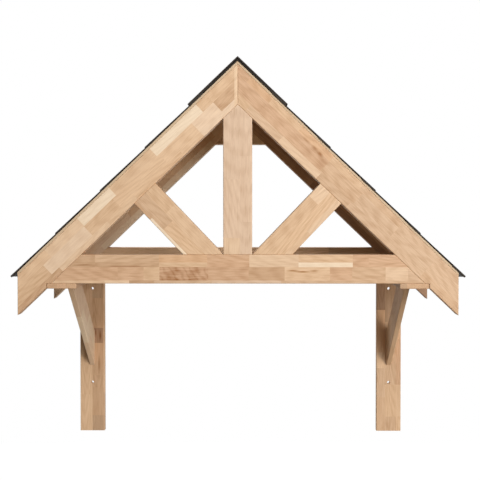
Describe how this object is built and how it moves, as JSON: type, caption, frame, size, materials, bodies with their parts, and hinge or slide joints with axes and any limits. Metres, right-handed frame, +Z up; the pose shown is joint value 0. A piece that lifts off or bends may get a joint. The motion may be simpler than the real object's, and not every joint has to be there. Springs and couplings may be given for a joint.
{
  "type": "porch canopy",
  "caption": "Gabled porch canopy of laminated oak: a king post truss on wall brackets under a steep slate roof with a ridge cap.",
  "frame": {"origin": "centre of the rear tie beam's back face, which lies flat against the wall", "axes": "+Z up, +Y into the wall, so the gable faces -Y; +X to the right seen from outside"},
  "size_m": [1.5714, 0.503, 1.4401],
  "materials": {
    "oak": "finger-jointed laminated oak, planed, bare",
    "deck_board": "thin roof boarding, bare",
    "slate": "thin dark slates, matt",
    "ridge": "folded black ridge cap, matt",
    "dark_trim": "black painted eaves fillet"
  },
  "bodies": {
    "root": {"front_rafter_left": "oak", "front_rafter_right": "oak", "front_tie_beam": "oak", "king_post": "oak", "strut_left": "oak", "strut_right": "oak", "rear_rafter_left": "oak", "rear_rafter_right": "oak", "rear_tie_beam": "oak", "rear_apex_gusset": "oak", "side_board_left": "oak", "side_board_right": "oak", "wall_post_left": "oak", "wall_post_right": "oak", "brace_left": "oak", "brace_right": "oak", "roof_deck_left": "deck_board", "roof_deck_right": "deck_board", "slate_starter_left": "slate", "slate_starter_right": "slate", "slate_course_1_left": "slate", "slate_course_1_right": "slate", "slate_course_2_left": "slate", "slate_course_2_right": "slate", "slate_course_3_left": "slate", "slate_course_3_right": "slate", "slate_course_4_left": "slate", "slate_course_4_right": "slate", "slate_top_course_left": "slate", "slate_top_course_right": "slate", "ridge_cap": "ridge", "eaves_fillet_left": "dark_trim", "eaves_fillet_right": "dark_trim"}
  },
  "joints": []
}
